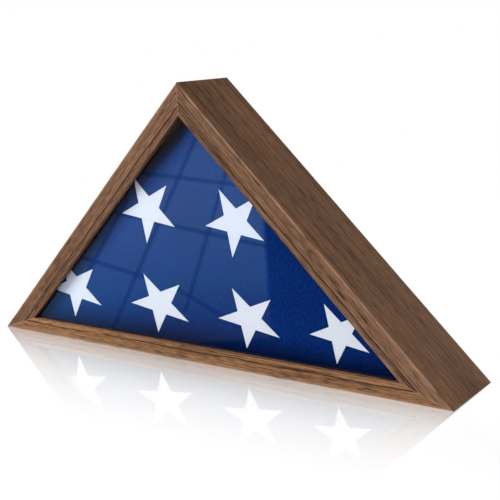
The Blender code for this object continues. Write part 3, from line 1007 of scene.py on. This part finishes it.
def fill_pocket(flag, play):
    """Settle the flag into its pocket: on the base rail, against the walls and the pane."""
    left, _, apex = inset_triangle(WALL, play)
    points = [v.co for v in flag.data.vertices]
    low_z = min(p.z for p in points)
    front, rear = min(p.y for p in points), max(p.y for p in points)
    middle = (front + rear) / 2
    tall = 1.07 * (apex.z - left.z) / (max(p.z + abs(p.x) for p in points) - low_z)
    for vert in flag.data.vertices:
        vert.co.x *= tall
        vert.co.z = left.z - 0.007 + (vert.co.z - low_z) * tall
        vert.co.y = middle + (vert.co.y - middle) * 1.15
        vert.co = in_pocket(vert.co, play)
        # the loose folds at the top of the left leg fall back from the pane
        from_leg = (apex.z + vert.co.x - vert.co.z) / math.sqrt(2)
        loose = smooth_step(vert.co.z, 0.20, 0.27) * (1 - smooth_step(from_leg, 0.006, 0.028))
        vert.co.y += 0.013 * loose * smooth_step(middle - vert.co.y, 0, 0.02)


def filled_flag(settings):
    """The folded flag as one soft body, swelled by cloth simulation inside its pocket."""
    low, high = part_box("folded_flag")
    start = settings.swell * 0.75
    flag = triangle_slab("flag_folded", inset_triangle(WALL, 0.0015), low.y + start,
                         high.y - start, 0.007, 0.008)
    apply_modifier(flag, "REMESH", mode="VOXEL", voxel_size=settings.voxel)
    rest = [v.co.copy() for v in flag.data.vertices]
    only(flag)
    bpy.ops.object.modifier_add(type="CLOTH")
    cloth = flag.modifiers[-1]
    cloth.settings.use_pressure = True
    cloth.settings.uniform_pressure_force = settings.pressure
    cloth.settings.effector_weights.gravity = 0
    cloth.point_cache.frame_start = 1
    cloth.point_cache.frame_end = 20
    scene = bpy.context.scene
    for step in range(1, 21):
        scene.frame_set(step)
    bpy.ops.object.modifier_apply(modifier=cloth.name)
    for vert, start in zip(flag.data.vertices, rest):
        move = vert.co - start
        if move.length > settings.swell:
            move *= settings.swell / move.length
        vert.co = start + move
    fill_pocket(flag, 0.0012)
    apply_modifier(flag, "SMOOTH", factor=0.5, iterations=3)
    apply_modifier(flag, "SUBSURF", levels=1, render_levels=1)
    fold_lines(flag, low, high)
    bpy.ops.object.shade_smooth()
    return flag


def fold_lines(flag, low, high):
    """Press the layers of the folds into the edges, and the tucked flap into the back."""
    flag.data.update()
    pitch = (high.y - low.y) / 9
    normals = [v.normal.copy() for v in flag.data.vertices]
    for vert, normal in zip(flag.data.vertices, normals):
        side = max(0.0, 1 - abs(normal.y) / 0.75)
        groove = abs(math.cos(math.pi * (vert.co.y - low.y) / pitch)) ** 4
        vert.co -= normal * (0.0016 * groove * side)
        if normal.y > 0.6:
            flap = (vert.co.x + 0.55 * vert.co.z - 0.02) / 0.004
            vert.co.y += 0.0018 * (0.5 + 0.5 * math.tanh(flap))
    flag.data.update()


def star_blank(radius):
    """A flat five-pointed star, one tip down, cut into small cells so it can lie on the cloth."""
    nothing_selected()
    bpy.ops.mesh.primitive_circle_add(vertices=10, radius=radius, fill_type="NGON",
                                      rotation=(math.pi / 2, 0, 0))
    star = added("star_blank")
    inner = (3 - math.sqrt(5)) / 2
    edit(star)
    tips = [Vector((math.sin(a), 0, -math.cos(a))) for a in (2 * math.pi * i / 5 for i in range(5))]
    bm = bmesh.from_edit_mesh(star.data)
    first = min(bm.verts, key=lambda v: (v.co.z, v.co.x)).co
    off = math.atan2(first.x, -first.z)
    bpy.ops.transform.rotate(value=off, orient_axis="Y", center_override=(0, 0, 0))
    bm = bmesh.from_edit_mesh(star.data)
    if min((v.co.normalized() - tips[0]).length for v in bm.verts) > 0.01:
        bpy.ops.transform.rotate(value=-2 * off, orient_axis="Y", center_override=(0, 0, 0))
    pick_points(lambda p: min((p.normalized() - t).length for t in tips) > 0.1)
    bpy.ops.transform.resize(value=(inner, 1, inner), center_override=(0, 0, 0))
    bpy.ops.mesh.select_all(action="SELECT")
    bpy.ops.mesh.poke()
    bpy.ops.mesh.subdivide(number_cuts=9)
    bpy.ops.object.mode_set(mode="OBJECT")
    mark_border(star, [t * radius for t in tips], inner)
    return star


def mark_border(star, tips, inner):
    """Write how far each point of the star lies from its outline."""
    notches = [-t * inner for t in tips]
    sides = [(t, n) for t in tips for n in notches if (t - n).length < tips[0].length * 0.8]
    marks = star.data.attributes.new("from_edge", "FLOAT", "POINT")
    for mark, vert in zip(marks.data, star.data.vertices):
        mark.value = min((vert.co - intersect_point_line(vert.co, *side)[0]).length
                         for side in sides)


def flat_size(obj):
    """Width, height and area of a piece that is flat but for its thickness."""
    low, high = (Vector(f(v.co[i] for v in obj.data.vertices) for i in range(3))
                 for f in (min, max))
    front = sum(face.area for face in obj.data.polygons if face.normal.y < -0.5)
    return (high.x - low.x, high.z - low.z), front


def sewn_star(blank, name, centre, shown, settings, flag):
    """Lay a copy of the star on the flag, up to where the flag turns into its folds."""
    turn = Matrix.Rotation(-settings.star_turn, 4, "Y")
    star = copy_of(blank, name, Matrix.Translation((centre[0], PANE_HIGH.y, centre[1]))
                   @ Matrix.Diagonal((shown[0], 1, shown[1], 1)) @ turn)
    left, _, apex = inset_triangle(WALL, 0.005)
    edit(star)
    slice_off(apex, (-1, 0, 1), fill=False)
    slice_off(apex, (1, 0, 1), fill=False)
    slice_off(left, (0, 0, -1), fill=False)
    bpy.ops.object.mode_set(mode="OBJECT")
    cut = flat_size(star)
    apply_modifier(star, "SHRINKWRAP", target=flag, wrap_method="PROJECT", use_project_y=True,
                   use_positive_direction=True, use_negative_direction=False,
                   offset=0.00005)
    edit(star)
    pick_points(lambda p: p.y < PANE_HIGH.y + 0.0005)
    bpy.ops.mesh.delete(type="VERT")
    bpy.ops.object.mode_set(mode="OBJECT")
    apply_modifier(star, "SOLIDIFY", thickness=settings.star_thickness, offset=1)
    return star, cut


BUILD = ("rails", "corner_nails", "pane", "stops", "flag", "stars", "back_panel", "lining",
         "screws", "turn_buttons", "hangers", "bumpers", "stage")


class FLAGCASE_OT_rails(bpy.types.Operator):
    """Build the three mitred walnut rails"""
    bl_idname = "flag_case.rails"
    bl_label = "Walnut rails"

    def execute(self, context):
        wood = context.scene.flag_case_wood
        for rail in RAILS:
            bar = mitred_rail(rail, wood.front_ease, wood.ease, wood.joint)
            knots = ((0.160, 0.013), (0.125, 0.0105)) if rail == "right" else ()
            rides(bar, "case", walnut("walnut_" + rail, rail, wood, knots),
                  ["rail_" + rail])
        return {"FINISHED"}


class FLAGCASE_OT_corner_nails(bpy.types.Operator):
    """Drive a V nail across each mitre from behind"""
    bl_idname = "flag_case.corner_nails"
    bl_label = "Corner nails"

    def execute(self, context):
        finish = steel("dull_nail_steel", (0.45, 0.44, 0.42), 0.42)
        for corner in OUTLINE:
            rides(v_nail(corner), "case", finish, ["corner_nail_" + corner])
        return {"FINISHED"}


class FLAGCASE_OT_pane(bpy.types.Operator):
    """Set the glass behind the lip of the frame"""
    bl_idname = "flag_case.pane"
    bl_label = "Pane"

    def execute(self, context):
        pane = triangle_slab("window_pane", inset_triangle(WALL, EDGE_PLAY),
                             PANE_LOW.y, PANE_HIGH.y, 0.0003)
        rides(pane, "case", pane_glass(), ["glass_pane"])
        return {"FINISHED"}


class FLAGCASE_OT_stops(bpy.types.Operator):
    """Finish the three stops that hold the pane"""
    bl_idname = "flag_case.stops"
    bl_label = "Pane stops"

    def execute(self, context):
        finish = stop_plastic()
        for side in RAILS:
            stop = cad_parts["stop_" + side]
            stop.data.materials.clear()
            stop.data.materials.append(finish)
        return {"FINISHED"}


class FLAGCASE_OT_flag(bpy.types.Operator):
    """Fold the flag and let it fill its pocket"""
    bl_idname = "flag_case.flag"
    bl_label = "Folded flag"

    def execute(self, context):
        cloth = context.scene.flag_case_cloth
        flag = filled_flag(cloth)
        rides(flag, "case", flag_cloth(cloth), ["folded_flag"])
        return {"FINISHED"}


class FLAGCASE_OT_stars(bpy.types.Operator):
    """Sew the white stars on the field"""
    bl_idname = "flag_case.stars"
    bl_label = "Stars"

    def execute(self, context):
        cloth = context.scene.flag_case_cloth
        flag = bpy.data.objects["flag_folded"]
        finish = star_cloth(cloth)
        blank = star_blank(cloth.star_radius)
        for number, (centre, shown) in enumerate(STARS, 1):
            star, (size, area) = sewn_star(blank, f"flag_star_{number}", centre, shown, cloth, flag)
            rides(star, "case", finish)
        discard(blank)
        return {"FINISHED"}


class FLAGCASE_OT_back_panel(bpy.types.Operator):
    """Cut the back panel with its clipped corners"""
    bl_idname = "flag_case.back_panel"
    bl_label = "Back panel"

    def execute(self, context):
        panel = triangle_slab("rear_panel", inset_triangle(LAND, EDGE_PLAY),
                              PANEL_LOW.y, PANEL_HIGH.y, 0.0006, PANEL_CORNER_CUT)
        rides(panel, "panel", hardboard(), ["back_panel"])
        return {"FINISHED"}


class FLAGCASE_OT_lining(bpy.types.Operator):
    """Lay the felt on the front of the back panel"""
    bl_idname = "flag_case.lining"
    bl_label = "Felt lining"

    def execute(self, context):
        lining = triangle_slab("felt_lining", inset_triangle(WALL, 2 * EDGE_PLAY),
                               LINING_LOW.y, LINING_HIGH.y, 0.0003, PANEL_CORNER_CUT)
        rides(lining, "panel", felt(), ["panel_lining"])
        size, area = flat_size(lining)
        return {"FINISHED"}


class FLAGCASE_OT_screws(bpy.types.Operator):
    """Turn the screws of the buttons and the hangers"""
    bl_idname = "flag_case.screws"
    bl_label = "Screws"

    def execute(self, context):
        fittings = context.scene.flag_case_fittings
        finish = steel("bright_screw_steel", fittings.zinc, 0.26, (700, 700, 700))
        master = pan_head_screw(fittings.recess)
        seat = Matrix.Translation((0, BUTTON_THICKNESS + 2 * GAP, 0))
        for turn, (name, (rail, distance)) in enumerate(BUTTON_PLACES.items()):
            place = station(rail, distance) @ seat @ Matrix.Rotation(turn * 1.1, 4, "Y")
            screw = copy_of(master, "screw_button_" + name, place)
            rides(screw, "case", finish, ["button_screw_" + name])
        seat = Matrix.Translation((-STRAP_SCREW, STRAP_THICKNESS + 2 * GAP, 0))
        for turn, side in enumerate(("left", "right")):
            place = (station(side, HANGER_PLACE, HANGER_INSET) @ seat
                     @ Matrix.Rotation(0.4 + turn, 4, "Y"))
            screw = copy_of(master, "screw_hanger_" + side, place)
            rides(screw, "case", finish, ["hanger_screw_" + side])
        discard(master)
        return {"FINISHED"}


class FLAGCASE_OT_turn_buttons(bpy.types.Operator):
    """Stamp the six turn buttons"""
    bl_idname = "flag_case.turn_buttons"
    bl_label = "Turn buttons"

    def execute(self, context):
        finish = steel("nickel_button_steel", context.scene.flag_case_fittings.nickel, 0.30)
        master = turn_button()
        for name, (rail, distance) in BUTTON_PLACES.items():
            place = station(rail, distance) @ Matrix.Translation((0, GAP, 0))
            button = copy_of(master, "button_blade_" + name, place)
            rides(button, "button_" + name, finish, ["turn_button_" + name])
        discard(master)
        return {"FINISHED"}


class FLAGCASE_OT_hangers(bpy.types.Operator):
    """Roll the two hanger straps and bend their rings"""
    bl_idname = "flag_case.hangers"
    bl_label = "Hangers"

    def execute(self, context):
        nickel = context.scene.flag_case_fittings.nickel
        strap_finish = steel("nickel_strap_steel", nickel, 0.30)
        ring_finish = steel("nickel_ring_wire", nickel, 0.22, (500, 500, 500))
        strap, ring = hanger_strap(), hanger_ring()
        for side in ("left", "right"):
            place = station(side, HANGER_PLACE, HANGER_INSET)
            rides(copy_of(strap, "strap_" + side, place), "case", strap_finish,
                  ["hanger_strap_" + side])
            pivot = place @ Matrix.Translation((0, PIVOT_HEIGHT, 0))
            rides(copy_of(ring, "ring_wire_" + side, pivot), "ring_" + side, ring_finish,
                  ["hanger_ring_" + side])
        discard(strap)
        discard(ring)
        return {"FINISHED"}


class FLAGCASE_OT_bumpers(bpy.types.Operator):
    """Mould the two wall bumpers"""
    bl_idname = "flag_case.bumpers"
    bl_label = "Wall bumpers"

    def execute(self, context):
        finish = rubber()
        master = wall_bumper()
        for side in ("left", "right"):
            place = station(side, BUMPER_PLACE) @ Matrix.Translation((0, GAP, 0))
            rides(copy_of(master, "bumper_" + side, place), "case", finish,
                  ["wall_bumper_" + side])
        discard(master)
        return {"FINISHED"}


def floor_finish(colour):
    """Pale polished floor: its soft mirror fades away from the case, and it into the room."""
    floor = Finish("pale_floor")
    own = floor.coordinates()
    cloud = floor.noise(own, (1.5, 1.5, 1.5), 2, 0.5)
    tone = floor.mix(cloud, tuple(colour), tuple(c * 1.04 for c in colour))
    matt = floor.node("ShaderNodeBsdfDiffuse", None, {"Color": tone})
    lit = floor.node("ShaderNodeEmission", None, {"Color": (1, 1, 1, 1), "Strength": 0.97})
    body = floor.node("ShaderNodeAddShader", None, {0: matt, 1: lit})
    mirror = floor.node("ShaderNodeBsdfGlossy", None, {"Color": (1, 1, 1, 1), "Roughness": 0.04})
    axes = floor.node("ShaderNodeSeparateXYZ", None, {"Vector": own})
    apart = (abs(axes["Y"]) - CASE_DEPTH / 2).larger(abs(axes["X"]) - CASE_WIDTH / 2).larger(0)
    glancing = floor.node("ShaderNodeFresnel", None, {"IOR": 1.5}) * 3.9
    share = glancing.smaller(0.75) * apart.halves(0.060)
    polished = floor.node("ShaderNodeMixShader", None, {0: share, 1: body, 2: mirror})
    away = floor.node("ShaderNodeVectorMath", {"operation": "LENGTH"}, {0: own}, output="Value")
    clear = floor.node("ShaderNodeBsdfTransparent")
    return floor.surface(floor.node("ShaderNodeMixShader", None,
                                    {0: away.rise(0.75, 1.45), 1: polished, 2: clear}))


def soft_light(name, place, aim, size, power, colour=(1, 1, 1)):
    nothing_selected()
    way = Vector(aim) - Vector(place)
    bpy.ops.object.light_add(type="AREA", location=place,
                             rotation=way.to_track_quat("-Z", "Y").to_euler())
    lamp = bpy.context.active_object
    lamp.name = lamp.data.name = name
    lamp.data.shape = "RECTANGLE"
    lamp.data.size, lamp.data.size_y = size
    lamp.data.energy = power
    lamp.data.color = colour
    lamp.visible_camera = lamp.visible_glossy = False
    return lamp


def window_card(pane):
    """A glowing window that only the pane mirrors: a pale sheet behind soft crossed bars."""
    facing = Vector((-0.6305, -0.7526, -0.1901))
    across = facing.cross(Vector((0, 0, 1))).normalized()
    place = Matrix((across, across.cross(facing), -facing)).transposed().to_4x4()
    place.translation = (-1.28, -1.55, -0.20)
    nothing_selected()
    bpy.ops.mesh.primitive_grid_add(x_subdivisions=8, y_subdivisions=8, size=1)
    bpy.context.active_object.scale = (0.90, 0.74, 1)
    sheet = added("window_sheet")
    edit(sheet)
    pick_points(lambda p: p.x < -0.44)
    bpy.ops.transform.translate(value=(0.160, 0, 0))
    bpy.ops.object.mode_set(mode="OBJECT")
    sheet.matrix_world = place
    sky = Finish("window_sky")
    axes = sky.node("ShaderNodeSeparateXYZ", None, {"Vector": sky.coordinates()})
    shade = (axes["X"] * 0.72 + axes["Y"] * 0.69).rise(0.10, 0.20)
    tint = sky.mix(axes["Y"].rise(-0.30, 0.15), (0.15, 0.42, 0.95), (0.375, 0.68, 1.33))
    tint = sky.mix(shade, tint, (0.10, 0.10, 0.10))
    tint = sky.mix(axes["Y"].rise(-0.36, -0.16), (0.08, 0.08, 0.09), tint)
    tint = sky.mix(axes["X"].rise(-0.290, -0.270), (0, 0, 0), tint)
    sky.surface(sky.node("ShaderNodeEmission", None, {"Color": tint}))
    sheet.data.materials.append(sky.made)
    parts = [sheet]
    bar_finish = Finish("window_bar")
    middle = bar_finish.node("ShaderNodeSeparateXYZ", None,
                             {"Vector": bar_finish.coordinates()})["Y"]
    black = bar_finish.node("ShaderNodeEmission", None, {"Color": (0, 0, 0, 1)})
    clear = bar_finish.node("ShaderNodeBsdfTransparent")
    solid = (1 - abs(middle).rise(0.000, 0.012)) * 0.55
    bar_finish.surface(bar_finish.node("ShaderNodeMixShader", None, {0: solid, 1: clear, 2: black}))
    for number, (start, end) in enumerate(WINDOW_BARS):
        start, end = Vector((*start, 0)), Vector((*end, 0))
        way = end - start
        nothing_selected()
        bpy.ops.mesh.primitive_grid_add(x_subdivisions=4, y_subdivisions=2, size=1)
        bpy.context.active_object.scale = (way.length, 0.028, 1)
        bar = added(f"window_bar_{number}")
        bar.matrix_world = (place @ Matrix.Translation((start + end) / 2 + Vector((0, 0, 0.004)))
                            @ Matrix.Rotation(math.atan2(way.y, way.x), 4, "Z"))
        bar.data.materials.append(bar_finish.made)
        parts.append(bar)
    only_pane = bpy.data.collections.new("mirrors_the_window")
    only_pane.objects.link(pane)
    for part in parts:
        part.visible_camera = part.visible_diffuse = part.visible_shadow = False
        part.visible_transmission = part.visible_volume_scatter = False
        part.light_linking.receiver_collection = only_pane


def room(ambient, wall, dim):
    """White behind the case and even light round it; gloss sees a pale low wall at the back."""
    room = Finish("white_room", "worlds")
    path = room.node("ShaderNodeLightPath")
    way = room.node("ShaderNodeSeparateXYZ", None,
                    {0: room.node("ShaderNodeTexCoord")["Generated"]})
    low_wall = 1 - way["Z"].rise(0.34, 0.48)
    above = way["Z"].rise(-0.02, 0.03)
    white, black = (1, 1, 1), (0, 0, 0)
    mirrored = above * (low_wall * (wall - dim) + dim) + (1 - above) * way["Y"].rise(0.0, 0.3) * 0.8
    even = room.node("ShaderNodeBackground", None, {"Color": white, "Strength": ambient})
    gloss = room.node("ShaderNodeBackground", None, {"Color": room.mix(mirrored, black, white)})
    seen = room.node("ShaderNodeBackground", None, {"Color": white})
    lit = room.node("ShaderNodeMixShader", None, {0: path["Is Glossy Ray"], 1: even, 2: gloss})
    lit = room.node("ShaderNodeMixShader", None, {0: path["Is Camera Ray"], 1: lit, 2: seen})
    bpy.context.scene.world = room.surface(lit, "ShaderNodeOutputWorld")


class FLAGCASE_OT_stage(bpy.types.Operator):
    """Set the floor, the lights and the camera"""
    bl_idname = "flag_case.stage"
    bl_label = "Stage"

    def execute(self, context):
        stage = context.scene.flag_case_stage
        context.scene.view_settings.view_transform = "Standard"
        room(stage.ambient, 1.0, 0.12)
        nothing_selected()
        bpy.ops.mesh.primitive_circle_add(vertices=64, radius=1.5, fill_type="NGON")
        floor = added("floor")
        floor.data.materials.append(floor_finish(stage.floor))
        floor.visible_glossy = False
        soft_light("key_softbox", (-1.7, -1.9, 1.5), (0, 0, 0.12), (1.6, 1.6), stage.key)
        soft_light("rear_softbox", (-1.6, 2.2, 1.2), (0, 0, 0.12), (1.6, 1.6), stage.key * 0.5)
        window_card(bpy.data.objects["window_pane"])
        azimuth, elevation = math.radians(37.40), math.radians(9.96)
        back = Vector((math.sin(azimuth) * math.cos(elevation),
                       -math.cos(azimuth) * math.cos(elevation), math.sin(elevation)))
        nothing_selected()
        bpy.ops.object.camera_add(location=(0.699, -0.8974, 0.3589))
        camera = context.active_object
        camera.name = "case_camera"
        camera.rotation_mode = "QUATERNION"
        camera.rotation_quaternion = ((-back).to_track_quat("-Z", "Y")
                                      @ Quaternion((0, 0, 1), math.radians(-3.0)))
        camera.data.lens = 70.46
        camera.data.sensor_width = 36
        camera.data.shift_x = 0.06
        camera.data.shift_y = -0.06
        context.scene.camera = camera
        return {"FINISHED"}


class FLAGCASE_PT_build(bpy.types.Panel):
    """Lists the steps that build the case"""
    bl_idname = "FLAGCASE_PT_build"
    bl_label = "Flag case"
    bl_space_type = "VIEW_3D"
    bl_region_type = "UI"
    bl_category = "Flag case"

    def draw(self, context):
        scene = context.scene
        for group in SETTINGS:
            settings = getattr(scene, group)
            box = self.layout.box()
            for name in settings.bl_rna.properties.keys():
                if name not in ("rna_type", "name"):
                    box.prop(settings, name)
        for step in BUILD:
            self.layout.operator("flag_case." + step)


SETTINGS = {
    "flag_case_wood": FLAGCASE_PG_wood,
    "flag_case_cloth": FLAGCASE_PG_cloth,
    "flag_case_fittings": FLAGCASE_PG_fittings,
    "flag_case_stage": FLAGCASE_PG_stage,
}
CLASSES = (
    *SETTINGS.values(), FLAGCASE_OT_rails, FLAGCASE_OT_corner_nails, FLAGCASE_OT_pane,
    FLAGCASE_OT_stops, FLAGCASE_OT_flag, FLAGCASE_OT_stars, FLAGCASE_OT_back_panel,
    FLAGCASE_OT_lining, FLAGCASE_OT_screws, FLAGCASE_OT_turn_buttons, FLAGCASE_OT_hangers,
    FLAGCASE_OT_bumpers, FLAGCASE_OT_stage, FLAGCASE_PT_build,
)


def register():
    for cls in CLASSES:
        bpy.utils.register_class(cls)
    for name, group in SETTINGS.items():
        setattr(bpy.types.Scene, name, bpy.props.PointerProperty(type=group))


def unregister():
    for name in SETTINGS:
        delattr(bpy.types.Scene, name)
    for cls in reversed(CLASSES):
        bpy.utils.unregister_class(cls)


def main():
    register()
    for step in BUILD:
        getattr(bpy.ops.flag_case, step)()


if __name__ == "__main__":
    main()
